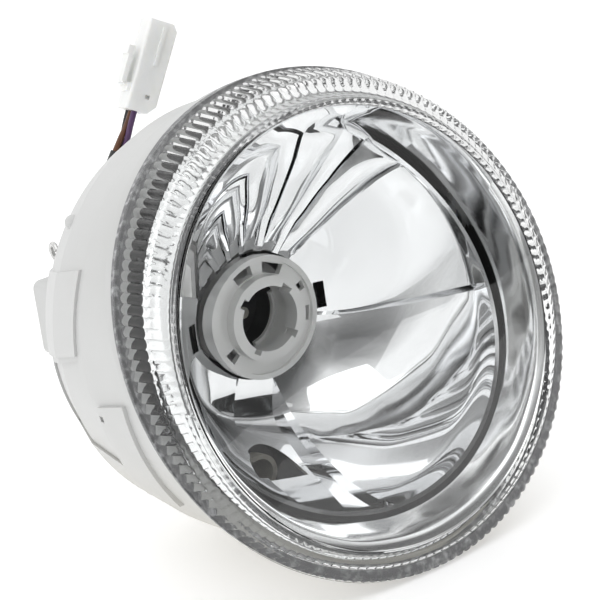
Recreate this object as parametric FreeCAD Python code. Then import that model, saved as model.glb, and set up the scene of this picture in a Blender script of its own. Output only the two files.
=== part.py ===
"""Round scooter headlamp: ribbed clear lens, rear housing, aimable reflector and three-wire lead.

Millimetres.  The bulb axis runs along Y and the lamp faces -Y, +Z is up and +X is to the
right seen from the front.  The origin is midway between the two rear fixing bosses, on
their back faces.
"""
import FreeCAD
import Part
import math
import os

V = FreeCAD.Vector

# Lens rings: ring 0 is the bead round the front face, ring 1 the rear edge of the flank
BEAD_Y = -100.0
FLANK_DEPTH = 11.7
FLANK_RISE = 0.0
BEAD_TILT = 14.5
FLANK_TILT = 6.5
LENS_RADIUS = 77.0
LENS_WALL = 2.5
SEAL_THICKNESS = 1.4

# Rear housing
HOUSING_WALL = 2.5
BACK_WALL_Y = -9.0
BACK_RADIUS = 51.0
BACK_DROP = 3.5
# Skin stations: distance along the bulb axis, drop of the centre, radius and tilt
SKIN = [(-80.0, 1.4, 70.8, 18.0), (-50.0, 2.4, 67.4, 6.0), (-31.0, 3.4, 63.8, 2.0), (-17.0, 3.5, 57.3, 0.5)]
# Side features, as outlines of (y, z) seen from the side
TOWER = [(-9.5, -6.0), (-46.0, 3.3), (-46.0, 28.0), (-9.5, 19.0)]
RECESS = [(-18.0, -6.5), (-46.0, 1.8), (-46.0, -5.5), (-54.0, -10.6), (-54.0, -34.0), (-18.0, -27.0)]
LOWER_BOX = [(-54.5, -10.6), (-72.0, -6.3), (-72.0, -42.0), (-54.5, -42.0)]
TOWER_RISE = 0.9
RECESS_DEPTH = 0.9
BOX_RISE = 1.3
VENT_ROOT = V(24.0, BACK_WALL_Y, 30.0)
VENT_DIRECTION = V(0, 1, 0)
VENT_BORE = 2.0
ACCESS_RADIUS = 24.0
COVER_TURN = 40.0
COVER_TAB = 7.0
COVER_RADIUS = 27.5
BOSS_X = 42.2
BOSS_SIZE = V(14.4, 14.0, 23.5)
BOSS_RISE = 1.75
INSERT_RADIUS = 3.2
THREAD_RADIUS = 2.1
INSERT_LENGTH = 10.0

# Reflector, bulb seat and aiming
BULB_Y = -44.0
BULB_Z = -5.0
BULB_HOLE = 10.0
SEAT_RADIUS = 19.0
SLOT_X = 22.8
REFLECTOR_WALL = 1.7
PIVOT = V(0.0, -62.0, 10.0)
PIVOT_BALL = 4.0
PIVOT_X = 61.0
RUNNING = 0.06
SCREW_X = 24.0
SCREW_Z = -44.0
SCREW_RADIUS = 2.5
NUT_RADIUS = 5.5
NUT_PLAY = 0.8
POSITION_X = -15.5
POSITION_Z = -49.0
POSITION_HOLE = 9.0

# Wire hooks beside the fixing bosses
HOOK_WIRE = 0.8
HOOK_ROOT = V(43.5, -13.0, 19.5)

# Lead and connector
SLEEVE_DIAMETER = 5.0
WIRE_DIAMETER = 1.9
SLEEVE_ROUTE = [
    (-20.0, -2.0, -34.5),
    (-20.0, 8.0, -34.5),
    (-20.0, 17.0, -29.5),
    (-20.5, 21.5, -19.0),
    (-21.0, 21.5, -6.5),
    (-20.5, 18.5, 6.5),
    (-18.0, 13.0, 19.0),
    (-13.0, 8.2, 31.0),
    (-6.1, 6.8, 41.6),
]
LEAD_X, LEAD_Z = SLEEVE_ROUTE[0][0], SLEEVE_ROUTE[0][2]
LEAD_HOLE = 4.0
CONNECTOR_FOOT = V(1.9, 6.0, 52.7)
CONNECTOR_AXIS = V(0.507, 0.0, 0.862)
CONNECTOR_SPIN = -20.0
CONNECTOR_LENGTH = 29.0
CONNECTOR_WIDTH = 9.5
CONNECTOR_DEPTH = 12.0
CAVITY_PITCH = 3.2
CAVITY_OFFSET = 1.2
LATCH_ROOT = 8.3
LATCH_TOP = 19.5
LATCH_GAP = 1.7
LATCH_THICKNESS = 1.4


def ring(y, z, radius, tilt):
    """Circle whose forward normal is raised by tilt degrees."""
    normal = V(0, -math.cos(math.radians(tilt)), math.sin(math.radians(tilt)))
    return Part.Wire(Part.makeCircle(radius, V(0, y, z), normal))


def lens_ring(step, radius):
    """Circle on the lens: step 0 at the front bead, 1 at the rear edge."""
    return ring(BEAD_Y + FLANK_DEPTH * step, FLANK_RISE * step, radius, BEAD_TILT + FLANK_TILT * step)


def loft(rings):
    """Solid through the given circles, with straight flanks between them."""
    body = Part.makeLoft(rings, True, True)
    if body.Volume < 0:
        body.reverse()
    return body


def rod(start, end, radius):
    """Cylinder between two points."""
    along = end - start
    return Part.makeCylinder(radius, along.Length, start, along)


def rod_y(x, z, y0, y1, radius):
    """Cylinder parallel to the bulb axis."""
    return rod(V(x, y0, z), V(x, y1, z), radius)


def ring_y(x, z, y0, y1, outer, inner):
    """Washer or tube parallel to the bulb axis."""
    return rod_y(x, z, y0, y1, outer).cut(rod_y(x, z, y0 - 1, y1 + 1, inner))


def block(x0, x1, y0, y1, z0, z1):
    """Box between two corners."""
    return Part.makeBox(x1 - x0, y1 - y0, z1 - z0, V(x0, y0, z0))


def wedge_sector(angle, half_angle, y0, y1, inner, outer, cx=0.0, cz=0.0):
    """Sector of a ring about the bulb axis; angles are counted from +X towards +Z."""
    points = []
    for turn, radius in ((-1, inner), (-1, outer), (1, outer), (1, inner)):
        theta = math.radians(angle + turn * half_angle)
        points.append(V(cx + radius * math.cos(theta), y0, cz + radius * math.sin(theta)))
    face = Part.Face(Part.makePolygon(points + points[:1]))
    return face.extrude(V(0, y1 - y0, 0))


def both_sides(shape):
    """The shape and its mirror image across the middle plane."""
    return shape.fuse(shape.mirror(V(0, 0, 0), V(1, 0, 0)))


def route_wire(points):
    """Straight runs joined by tangent arcs, each as large as its two runs allow."""
    edges = []
    radii = []
    last = points[0]
    for before, corner, after in zip(points, points[1:], points[2:]):
        into = (corner - before).normalize()
        out = (after - corner).normalize()
        half_turn = into.getAngle(out) / 2
        reach = 0.45 * min((corner - before).Length, (after - corner).Length)
        radii.append(reach / math.tan(half_turn))
        start = corner - into * reach
        end = corner + out * reach
        toward = (out - into).normalize()
        centre = corner + toward * math.hypot(radii[-1], reach)
        middle = centre - toward * radii[-1]
        edges.append(Part.LineSegment(last, start).toShape())
        edges.append(Part.Arc(start, middle, end).toShape())
        last = end
    edges.append(Part.LineSegment(last, points[-1]).toShape())
    return Part.Wire(edges), radii


# Lens ---------------------------------------------------------------------------------

def make_lens():
    """Domed clear face, bead, ribbed flank (plain here) and rear flange."""
    outer = [(-0.50, 3), (-0.46, 28), (-0.34, 47), (-0.14, 60), (0.0, 66.4), (0.07, 68.4),
             (0.25, 73.2), (0.60, 75.4), (0.91, 76.6), (1.0, LENS_RADIUS)]
    inner = [(-0.30, 3), (-0.26, 27.5), (-0.14, 46), (0.04, 59), (0.15, 65.4), (0.42, 70.4),
             (0.70, 72.6), (1.01, LENS_RADIUS - LENS_WALL - 1)]
    return loft([lens_ring(*r) for r in outer]).cut(loft([lens_ring(*r) for r in inner]))


def rear_step(depth):
    """Lens step of a plane that lies a depth in mm behind the lens's rear edge."""
    return 1.0 + depth / FLANK_DEPTH


def make_lens_seal():
    """Flat black sealing ring between the lens flange and the housing flange."""
    front = rear_step(0.0)
    back = rear_step(SEAL_THICKNESS)
    body = loft([lens_ring(front, LENS_RADIUS - 0.3), lens_ring(back, LENS_RADIUS - 0.3)])
    bore = loft([lens_ring(front - 0.1, 73.0), lens_ring(back + 0.1, 73.0)])
    return body.cut(bore)


# Housing ------------------------------------------------------------------------------

def skin_band(offset):
    """Solid inside the skin behind the front flange, grown outwards by an offset."""
    rings = [ring(y, -drop, radius + offset, tilt) for y, drop, radius, tilt in SKIN]
    rings.append(ring(BACK_WALL_Y, -BACK_DROP, BACK_RADIUS + offset, 0.0))
    return loft(rings)


def side_prism(outline):
    """Bar across the lamp's left side whose section is an outline of (y, z)."""
    points = [V(-90.0, y, z) for y, z in outline]
    return Part.Face(Part.makePolygon(points + points[:1])).extrude(V(50.0, 0, 0))


def housing_rings(wall):
    """Stations of the housing's skin from the front flange to the back wall."""
    front = rear_step(SEAL_THICKNESS)
    rings = [lens_ring(front if not wall else front - 0.1, 72.6 - wall)]
    for y, drop, radius, tilt in SKIN:
        rings.append(ring(y, -drop, radius - wall, tilt))
    rings.append(ring(BACK_WALL_Y - wall, -BACK_DROP, BACK_RADIUS - 0.8 * wall, 0.0))
    return rings


def make_housing():
    """Deep light-grey bowl with front flange, back wall, access hole, bosses and lugs."""
    outer = loft(housing_rings(0))
    front = rear_step(SEAL_THICKNESS)
    flange = loft([lens_ring(front, LENS_RADIUS - 1.2), lens_ring(front + 0.28, LENS_RADIUS - 1.2)])
    inner = loft(housing_rings(HOUSING_WALL))
    body = outer.fuse(flange)
    for x in (-BOSS_X, BOSS_X):
        body = body.fuse(boss_block(x))
    body = body.fuse([lead_outlet_pad(), vent_pad(), screw_pad(), side_bumps()])
    body = body.fuse([side_raised(TOWER, TOWER_RISE), side_raised(LOWER_BOX, BOX_RISE)])
    body = body.cut(side_recess())
    body = body.cut(inner)
    body = body.fuse(bezel_ledge())
    body = body.fuse(pivot_lugs(outer))
    body = body.cut(pivot_bores())
    body = body.cut(make_spring_hooks())
    body = body.cut(rod_y(0, 0, BACK_WALL_Y - 6, BACK_WALL_Y + 1, ACCESS_RADIUS))
    for angle in (90 + COVER_TURN, 270 + COVER_TURN):
        body = body.cut(wedge_sector(angle, COVER_TAB + 2, BACK_WALL_Y - 6, BACK_WALL_Y + 1, ACCESS_RADIUS - 2,
                                     ACCESS_RADIUS + 2.4))
    for x in (-BOSS_X, BOSS_X):
        body = body.cut(rod_y(x, 0, -INSERT_LENGTH, 1, INSERT_RADIUS))
    body = body.cut(rod_y(LEAD_X, LEAD_Z, BACK_WALL_Y - 8, BACK_WALL_Y + 5, LEAD_HOLE))
    body = body.cut(rod(VENT_ROOT - VENT_DIRECTION * 9, VENT_ROOT + VENT_DIRECTION * 9, VENT_BORE))
    body = body.cut(rod_y(SCREW_X, SCREW_Z, -36, -2, SCREW_RADIUS + RUNNING))
    body = body.cut(drain_notches())
    return body


def boss_block(x):
    """Fixing boss: a block from inside the skin to the mounting plane."""
    half = BOSS_SIZE.x / 2
    low = BOSS_RISE - BOSS_SIZE.z / 2
    body = block(x - half, x + half, -BOSS_SIZE.y, 0, low, low + BOSS_SIZE.z)
    slanted = [e for e in body.Edges if abs(e.Length - BOSS_SIZE.y) < 0.01]
    return body.makeFillet(2.5, slanted)


def lead_outlet_pad():
    """Thickened round pad on the back wall for the lead's grommet."""
    return rod_y(LEAD_X, LEAD_Z, BACK_WALL_Y - 2, BACK_WALL_Y + 1.5, LEAD_HOLE + 2.5)


def vent_pad():
    """Stub that the breather cap pushes onto."""
    return rod(VENT_ROOT - VENT_DIRECTION * 6, VENT_ROOT + VENT_DIRECTION * 6.5, 3.0)


def side_bumps():
    """Small rounded stops high on each side."""
    return both_sides(Part.makeSphere(2.4, V(-47.0, -25.0, 35.5)))


def screw_pad():
    """Boss that the aiming screw turns in."""
    return rod_y(SCREW_X, SCREW_Z, -34, -13, 7.5)


def side_raised(outline, rise):
    """Part of the skin on each side that stands proud inside an outline."""
    return both_sides(side_prism(outline).common(skin_band(rise)))


def side_recess():
    """Scooped part of the skin below the tower on each side."""
    return both_sides(side_prism(RECESS).common(skin_band(4.0).cut(skin_band(-RECESS_DEPTH))))


def drain_notches():
    """Small drain notch at the rear top corner of each lower box."""
    return both_sides(block(-74, -66.6, -57.0, -55.0, -15.0, -13.0))


def bezel_ledge():
    """Inner step that the bezel's rear flange rests on."""
    disc = loft([lens_ring(1.80, 70.8), lens_ring(1.96, 70.8)])
    bore = loft([lens_ring(1.7, 66.4), lens_ring(2.1, 66.4)])
    return disc.cut(bore)


def pivot_lugs(outer):
    """Inner bosses that hold the two pivot studs."""
    lug = rod(V(PIVOT_X + 3.5, PIVOT.y, PIVOT.z), V(70, PIVOT.y, PIVOT.z), 6.0).common(outer)
    return both_sides(lug)


def pivot_bores():
    """Holes in the inner bosses for the shanks of the studs."""
    return both_sides(rod(V(PIVOT_X, PIVOT.y, PIVOT.z), V(PIVOT_X + 5.6, PIVOT.y, PIVOT.z), 2.55))


def make_fixing_inserts():
    """Brass threaded inserts in the two fixing bosses."""
    return Part.makeCompound([ring_y(x, 0, -INSERT_LENGTH, -0.0, INSERT_RADIUS - 0.02, THREAD_RADIUS)
                              for x in (-BOSS_X, BOSS_X)])


def make_access_cover():
    """Twist-off cap over the bulb access hole, with a grip bar, a spigot and two tabs."""
    plate = rod_y(0, 0, BACK_WALL_Y + 1.2, BACK_WALL_Y + 3.6, COVER_RADIUS)
    spigot = ring_y(0, 0, BACK_WALL_Y - 5.2, BACK_WALL_Y + 1.3, ACCESS_RADIUS - 0.4, ACCESS_RADIUS - 2.2)
    bar = block(-17, 17, BACK_WALL_Y + 3.5, BACK_WALL_Y + 8.2, -1.8, 1.8)
    tabs = [wedge_sector(angle, COVER_TAB, BACK_WALL_Y - 5.2, BACK_WALL_Y - 3.2, ACCESS_RADIUS - 2.0,
                         ACCESS_RADIUS + 2.0) for angle in (90, 270)]
    return plate.fuse([spigot, bar] + tabs)


def make_access_seal():
    """Rubber ring between the access cap and the back wall."""
    return ring_y(0, 0, BACK_WALL_Y, BACK_WALL_Y + 1.2, COVER_RADIUS - 0.4, ACCESS_RADIUS + 0.3)


def tube_along(path, radius):
    """Round solid swept along a wire of runs and tangent arcs."""
    first = path.OrderedEdges[0]
    start = first.valueAt(first.FirstParameter)
    direction = first.tangentAt(first.FirstParameter)
    profile = Part.Wire(Part.makeCircle(radius, start, direction))
    return path.makePipeShell([profile], True, True)


def make_spring_hooks():
    """Two bright wire hooks moulded into the back of the housing."""
    hooks = []
    for side in (-1, 1):
        points = [V(side * HOOK_ROOT.x, HOOK_ROOT.y + dy, HOOK_ROOT.z + dz)
                  for dy, dz in ((0.0, 0.0), (6.0, 0.5), (7.5, 4.5), (4.5, 6.5), (2.5, 4.5))]
        points = [p + V(side * 0.4 * k, 0, 0) for k, p in enumerate(points)]
        hooks.append(tube_along(route_wire(points)[0], HOOK_WIRE))
    return Part.makeCompound(hooks)


def make_vent_cap():
    """Rubber breather cap on the housing's stub."""
    start = VENT_ROOT + VENT_DIRECTION * 2.0
    end = VENT_ROOT + VENT_DIRECTION * 9.0
    cap = rod(start, end, 4.6)
    return cap.cut(rod(start - VENT_DIRECTION, VENT_ROOT + VENT_DIRECTION * 6.6, 3.05))


# Bezel and reflector ------------------------------------------------------------------

def make_bezel():
    """Chromed ring behind the lens bead, with a flange that rests on the housing's step."""
    wall = 1.3
    tube_outer = loft([lens_ring(0.20, 65.0), lens_ring(1.80, 65.6)])
    tube_inner = loft([lens_ring(0.19, 65.0 - wall), lens_ring(1.81, 65.6 - wall)])
    flange = loft([lens_ring(1.68, 67.7), lens_ring(1.80, 67.7)])
    return tube_outer.fuse(flange).cut(tube_inner)


def reflector_rings(wall):
    """Stations of the reflector from its front rim to the bulb seat."""
    front = 1.80 if not wall else 1.75
    rings = [lens_ring(front, 60.4 - wall)]
    for y, z, radius, tilt in ((-74.0, 0.2, 58.8, 17.0), (-64.0, -1.0, 53.0, 12.0), (-54.0, -3.0, 42.0, 5.0),
                               (-47.0, BULB_Z, 27.0, 0.0)):
        rings.append(ring(y - 0.8 * wall, z, radius - 0.6 * wall, tilt))
    rings.append(ring(BULB_Y - wall, BULB_Z, SEAT_RADIUS + 1.0, 0.0))
    return rings


def make_reflector():
    """Metallised bowl with bulb opening, side slots, position-lamp hole and pivot ears."""
    outer = loft(reflector_rings(0))
    ears = both_sides(block(44, PIVOT_X - 4.5, PIVOT.y - 5, PIVOT.y + 5, PIVOT.z - 5, PIVOT.z + 5))
    arm = rod_y(SCREW_X, SCREW_Z, -62, -44, 8.0)
    holder = rod_y(POSITION_X, POSITION_Z, -66, -46, POSITION_HOLE + 1.6)
    body = outer.fuse([ears, arm, holder])
    body = body.cut(loft(reflector_rings(REFLECTOR_WALL)))
    body = body.cut(rod_y(0, BULB_Z, BULB_Y - 6, BULB_Y + 1, SEAT_RADIUS + 0.1))
    body = body.cut(rod_y(POSITION_X, POSITION_Z, -70, -45, POSITION_HOLE))
    body = body.cut(rod_y(SCREW_X, SCREW_Z, -53.4, -43, NUT_RADIUS + 0.05))
    for side in (-1, 1):
        x = side * SLOT_X
        body = body.cut(block(x - 1.5, x + 1.5, BULB_Y - 9, BULB_Y + 4, BULB_Z - 4, BULB_Z + 4))
    return body


def make_bulb_seat():
    """Stepped ring with windows and a raised collar round the bulb hole."""
    plate = ring_y(0, BULB_Z, BULB_Y - 3.2, BULB_Y - 1.2, SEAT_RADIUS, BULB_HOLE)
    rim = ring_y(0, BULB_Z, BULB_Y - 4.4, BULB_Y - 1.2, SEAT_RADIUS, SEAT_RADIUS - 1.6)
    collar = ring_y(0, BULB_Z, BULB_Y - 6.4, BULB_Y - 3.1, BULB_HOLE + 3.2, BULB_HOLE)
    skirt = ring_y(0, BULB_Z, BULB_Y - 1.3, BULB_Y + 6.0, BULB_HOLE + 3.2, BULB_HOLE + 1.4)
    body = plate.fuse([rim, collar, skirt])
    windows = []
    for angle, half in ((68, 13), (108, 12), (214, 7), (348, 8), (20, 5)):
        windows.append(wedge_sector(angle, half, BULB_Y - 3.6, BULB_Y - 1.0, BULB_HOLE + 3.7, SEAT_RADIUS - 2.0,
                                    0, BULB_Z))
    for angle, half in ((140, 8), (45, 10), (318, 6), (235, 6)):
        windows.append(wedge_sector(angle, half, BULB_Y - 6.6, BULB_Y - 1.0, BULB_HOLE - 1, BULB_HOLE + 1.6,
                                    0, BULB_Z))
    return body.cut(windows[0].multiFuse(windows[1:]))


def make_bulb_retainer():
    """Bayonet ring behind the seat that turns to lock the bulb."""
    y = BULB_Y + 6.3
    hoop = ring_y(0, BULB_Z, y, y + 1.4, 16.5, BULB_HOLE + 0.6)
    tabs = [wedge_sector(angle, 7, y + 0.01, y + 1.39, 16.0, 19.5, 0, BULB_Z) for angle in (90, 210, 330)]
    slots = [wedge_sector(angle, 12, y - 1, y + 3, BULB_HOLE - 1, BULB_HOLE + 2.4, 0, BULB_Z)
             for angle in (30, 150, 270)]
    return hoop.fuse(tabs).cut(slots[0].multiFuse(slots[1:]))


def make_bulb_socket():
    """Rubber-covered contact carrier that closes the back of the bulb opening."""
    y = BULB_Y + 8.0
    cup = rod_y(0, BULB_Z, y, y + 11, 14.5).cut(rod_y(0, BULB_Z, y - 1, y + 8, 12.0))
    lip = ring_y(0, BULB_Z, y, y + 1.5, 16.0, 13.0)
    return cup.fuse(lip)


def make_bulb_contacts():
    """Three sprung contact buttons in the carrier."""
    y = BULB_Y + 12.5
    return Part.makeCompound([rod_y(5.0 * math.cos(math.radians(a)), BULB_Z + 5.0 * math.sin(math.radians(a)), y,
                                    BULB_Y + 16.0, 1.8) for a in (90, 210, 330)])


def make_position_holder():
    """Wedge-base bulb holder of the position lamp."""
    y = -47.5
    tube = ring_y(POSITION_X, POSITION_Z, y - 8, y + 4, 6.3, 4.9)
    floor = rod_y(POSITION_X, POSITION_Z, y, y + 6, 6.0)
    key = block(POSITION_X - 1.2, POSITION_X + 1.2, y - 0.5, y + 1, POSITION_Z - 4, POSITION_Z + 4)
    return tube.fuse(floor).cut(key)


def make_position_grommet():
    """Rubber sleeve that holds the position lamp's holder in the reflector."""
    return ring_y(POSITION_X, POSITION_Z, -51.0, -44.0, POSITION_HOLE - 0.05, 6.35)


# Aiming -------------------------------------------------------------------------------

def make_pivot_studs():
    """Two steel ball studs pressed into the housing's side bosses."""
    shank = 2.5
    neck = math.sqrt(PIVOT_BALL ** 2 - shank ** 2)
    centre = V(PIVOT_X, PIVOT.y, PIVOT.z)
    crown = centre + V(-PIVOT_BALL, 0, 0)
    side = centre + V(0, PIVOT_BALL, 0)
    corners = [centre + V(neck, shank, 0), centre + V(5.5, shank, 0), centre + V(5.5, 0, 0), crown]
    outline = [Part.Arc(crown, side, corners[0]).toShape()]
    outline += [Part.LineSegment(a, b).toShape() for a, b in zip(corners, corners[1:])]
    stud = Part.Face(Part.Wire(outline)).revolve(centre, V(1, 0, 0), 360)
    return Part.makeCompound([stud, stud.mirror(V(0, 0, 0), V(1, 0, 0))])


def make_pivot_sockets():
    """Two nylon cups on the reflector's ears that hold the ball studs."""
    cups = []
    for side in (-1, 1):
        low = min(side * (PIVOT_X - 4.5), side * (PIVOT_X + 2.5))
        cup = block(low, low + 7, PIVOT.y - 5.2, PIVOT.y + 5.2, PIVOT.z - 5.2, PIVOT.z + 5.2)
        bore = rod(V(side * (PIVOT_X - 4.2), PIVOT.y, PIVOT.z), V(side * 70, PIVOT.y, PIVOT.z),
                   PIVOT_BALL + RUNNING)
        cups.append(cup.cut(bore))
    return Part.makeCompound(cups)


def make_aim_nut():
    """Nylon nut in the reflector's arm, its bore longer in Z so that the arm can tilt on the screw."""
    bore = SCREW_RADIUS + 0.5
    body = rod_y(SCREW_X, SCREW_Z, -52.5, -42.5, NUT_RADIUS)
    slot = block(SCREW_X - bore, SCREW_X + bore, -54, -41, SCREW_Z - NUT_PLAY, SCREW_Z + NUT_PLAY)
    ends = [rod_y(SCREW_X, SCREW_Z + dz, -54, -41, bore) for dz in (-NUT_PLAY, NUT_PLAY)]
    return body.cut(slot.fuse(ends))


def make_aim_screw():
    """Aiming screw with its collar inside the housing."""
    shank = rod_y(SCREW_X, SCREW_Z, -50.2, -0.6, SCREW_RADIUS)
    collar = rod_y(SCREW_X, SCREW_Z, -35.8, -34.3, 5.0)
    return shank.fuse(collar)


def make_aim_knob():
    """Fluted knob on the aiming screw, outside the housing."""
    body = ring_y(SCREW_X, SCREW_Z, BACK_WALL_Y + 0.4, -1.0, 7.5, SCREW_RADIUS + 0.02)
    flutes = [rod_y(SCREW_X + 8.3 * math.cos(a), SCREW_Z + 8.3 * math.sin(a), BACK_WALL_Y, 0, 1.7)
              for a in (math.radians(30 * k) for k in range(12))]
    return body.cut(flutes[0].multiFuse(flutes[1:]))


# Lead and connector -------------------------------------------------------------------

def make_lead_grommet():
    """Tapered rubber grommet where the lead leaves the back wall."""
    body = rod_y(LEAD_X, LEAD_Z, BACK_WALL_Y - 2.6, BACK_WALL_Y + 1.6, LEAD_HOLE - 0.05)
    flange = rod_y(LEAD_X, LEAD_Z, BACK_WALL_Y + 1.5, BACK_WALL_Y + 3.0, LEAD_HOLE + 1.6)
    nose = Part.makeCone(LEAD_HOLE + 0.6, SLEEVE_DIAMETER / 2 + 0.6, 4.0, V(LEAD_X, BACK_WALL_Y + 3.0, LEAD_Z),
                         V(0, 1, 0))
    return body.fuse([flange, nose])


def make_lead_sleeve():
    """Black sleeve from the grommet up behind the housing."""
    path, radii = route_wire([V(*p) for p in SLEEVE_ROUTE])
    report_cord("lead_sleeve", path, radii)
    return tube_along(path, SLEEVE_DIAMETER / 2)


def connector_place():
    """Placement that takes the connector's own axes (width, depth, length) to the lamp's."""
    length = V(CONNECTOR_AXIS).normalize()
    spin = math.radians(CONNECTOR_SPIN)
    across = length.cross(V(0, -1, 0)).normalize()
    depth = V(0, -1, 0) * math.cos(spin) + across * math.sin(spin)
    width = depth.cross(length)
    return FreeCAD.Placement(CONNECTOR_FOOT, FreeCAD.Rotation(width, depth, length, "ZXY"))


def cavity_axis(index, height):
    """Point on a connector cavity's axis at a height above the connector's foot."""
    local = V(CAVITY_OFFSET, (index - 1) * CAVITY_PITCH, height)
    return connector_place().multVec(local)


def make_wire(name, index, spread_angle):
    """One insulated wire from the sleeve's end into its connector cavity."""
    end = V(*SLEEVE_ROUTE[-1])
    heading = (end - V(*SLEEVE_ROUTE[-2])).normalize()
    side = heading.cross(V(0, 1, 0)).normalize()
    other = heading.cross(side)
    angle = math.radians(spread_angle)
    offset = (side * math.cos(angle) + other * math.sin(angle)) * 1.3
    start = end + offset
    points = [start, start + heading * 4.4, cavity_axis(index, -4.2), cavity_axis(index, 1.5)]
    path, radii = route_wire(points)
    report_cord(name, path, radii)
    print("  route", name, [tuple(round(c, 2) for c in p) for p in points])
    return tube_along(path, WIRE_DIAMETER / 2)


def make_connector():
    """White plug housing with three cavities, chamfered corner and strain steps."""
    half_w = CONNECTOR_WIDTH / 2
    half_d = CONNECTOR_DEPTH / 2
    body = block(-half_w, half_w, -half_d, half_d, 0, CONNECTOR_LENGTH)
    edges = [e for e in body.Edges if abs(e.Length - CONNECTOR_LENGTH) < 0.01]
    body = body.makeFillet(0.8, edges)
    corner = Part.makePolygon([V(-half_w - 1, 0, CONNECTOR_LENGTH - 3.6), V(-half_w - 1, 0, CONNECTOR_LENGTH + 1),
                               V(-half_w + 2.6, 0, CONNECTOR_LENGTH + 1), V(-half_w - 1, 0, CONNECTOR_LENGTH - 3.6)])
    body = body.cut(Part.Face(corner).extrude(V(0, 20, 0)).translate(V(0, -10, 0)))
    heel = Part.makePolygon([V(-half_w - 1, 0, -1), V(-half_w - 1, 0, 4.2), V(-half_w + 3.4, 0, -1),
                             V(-half_w - 1, 0, -1)])
    body = body.cut(Part.Face(heel).extrude(V(0, 20, 0)).translate(V(0, -10, 0)))
    step = block(half_w - 0.2, half_w + 1.0, -half_d + 1.5, half_d - 1.5, 5.4, LATCH_ROOT - 0.2)
    rail = block(-0.9, 0.1, half_d - 0.2, half_d + 0.7, 15.0, CONNECTOR_LENGTH - 1.5)
    root = block(half_w - 0.2, half_w + LATCH_GAP + 0.4, -3.4, 3.4, LATCH_ROOT - 1.3, LATCH_ROOT - 0.2)
    body = body.fuse([step, rail, root.cut(latch_pin(LATCH_THICKNESS / 2 + RUNNING / 2))])
    for index in range(3):
        y = (index - 1) * CAVITY_PITCH
        body = body.cut(Part.makeCylinder(WIRE_DIAMETER / 2 + 0.08, 4, V(CAVITY_OFFSET, y, -1)))
        body = body.cut(block(CAVITY_OFFSET - 1.25, CAVITY_OFFSET + 1.25, y - 1.2, y + 1.2, 2.4, 30))
    body = body.cut(block(-1.6, -0.2, half_d - 1.4, half_d + 1, 4.4, 5.6))
    return body


def latch_pin(radius):
    """Cylinder across the connector on the axis that the latch lever bends about."""
    middle = CONNECTOR_WIDTH / 2 + LATCH_GAP + LATCH_THICKNESS / 2
    return rod(V(middle, -3.6, LATCH_ROOT), V(middle, 3.6, LATCH_ROOT), radius)


def make_latch():
    """Sprung thumb lever on the connector's side, round where it bends."""
    base = CONNECTOR_WIDTH / 2 + LATCH_GAP
    face = base + LATCH_THICKNESS
    arm = block(base, face, -3.6, 3.6, LATCH_ROOT, LATCH_TOP)
    pad = block(face - 0.1, face + 0.6, -3.6, 3.6, LATCH_TOP - 3.0, LATCH_TOP)
    return arm.fuse([pad, latch_pin(LATCH_THICKNESS / 2)])


def report_latch_axis():
    """Print the point and direction that the record gives for the latch lever's joint."""
    place = connector_place()
    middle = place.multVec(V(CONNECTOR_WIDTH / 2 + LATCH_GAP + LATCH_THICKNESS / 2, 0, LATCH_ROOT))
    axis = place.Rotation.multVec(V(0, 1, 0))
    print("latch axis at (%.3f, %.3f, %.3f) along (%.4f, %.4f, %.4f)" % (*middle, *axis))


def make_terminals():
    """Three crimped tab terminals in the connector."""
    terminals = []
    for index in range(3):
        y = (index - 1) * CAVITY_PITCH
        box = block(CAVITY_OFFSET - 1.1, CAVITY_OFFSET + 1.1, y - 1.0, y + 1.0, 12.0, 26.0)
        crimp = Part.makeCylinder(0.9, 9.5, V(CAVITY_OFFSET, y, 2.6))
        terminals.append(box.fuse(crimp))
    return Part.makeCompound(terminals)


def report_cord(name, path, radii):
    """Print a cord's length and its arc radii."""
    print("%s: length %.1f, radii %s" % (name, path.Length, ", ".join("%.1f" % r for r in radii)))


def placed(shape):
    """The shape moved from the connector's own axes to the lamp's."""
    moved = shape.copy()
    moved.Placement = connector_place().multiply(shape.Placement)
    return moved


def main():
    """Build every piece and write one STEP file each."""
    pieces = {
        "lens": make_lens(),
        "lens_seal": make_lens_seal(),
        "rear_housing": make_housing(),
        "fixing_inserts": make_fixing_inserts(),
        "access_cover": make_access_cover(),
        "access_seal": make_access_seal(),
        "spring_hooks": make_spring_hooks(),
        "breather_cap": make_vent_cap(),
        "inner_bezel": make_bezel(),
        "reflector": make_reflector(),
        "bulb_seat": make_bulb_seat(),
        "bulb_retainer": make_bulb_retainer(),
        "bulb_socket": make_bulb_socket(),
        "bulb_contacts": make_bulb_contacts(),
        "position_lamp_holder": make_position_holder(),
        "position_lamp_grommet": make_position_grommet(),
        "pivot_studs": make_pivot_studs(),
        "pivot_sockets": make_pivot_sockets(),
        "aim_nut": make_aim_nut(),
        "aim_screw": make_aim_screw(),
        "aim_knob": make_aim_knob(),
        "lead_grommet": make_lead_grommet(),
        "lead_sleeve": make_lead_sleeve(),
        "wire_brown": make_wire("wire_brown", 1, 0),
        "wire_violet": make_wire("wire_violet", 2, 120),
        "wire_black": make_wire("wire_black", 0, 240),
        "connector_body": placed(make_connector()),
        "connector_latch": placed(make_latch()),
        "connector_terminals": placed(make_terminals()),
    }
    report_latch_axis()
    os.makedirs("parts", exist_ok=True)
    for name, shape in pieces.items():
        state = "ok" if shape.isValid() and shape.Solids else "BROKEN"
        print("%-24s %-6s solids %d volume %.1f" % (name, state, len(shape.Solids), shape.Volume))
        shape.exportStep("parts/%s.step" % name)


main()
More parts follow.
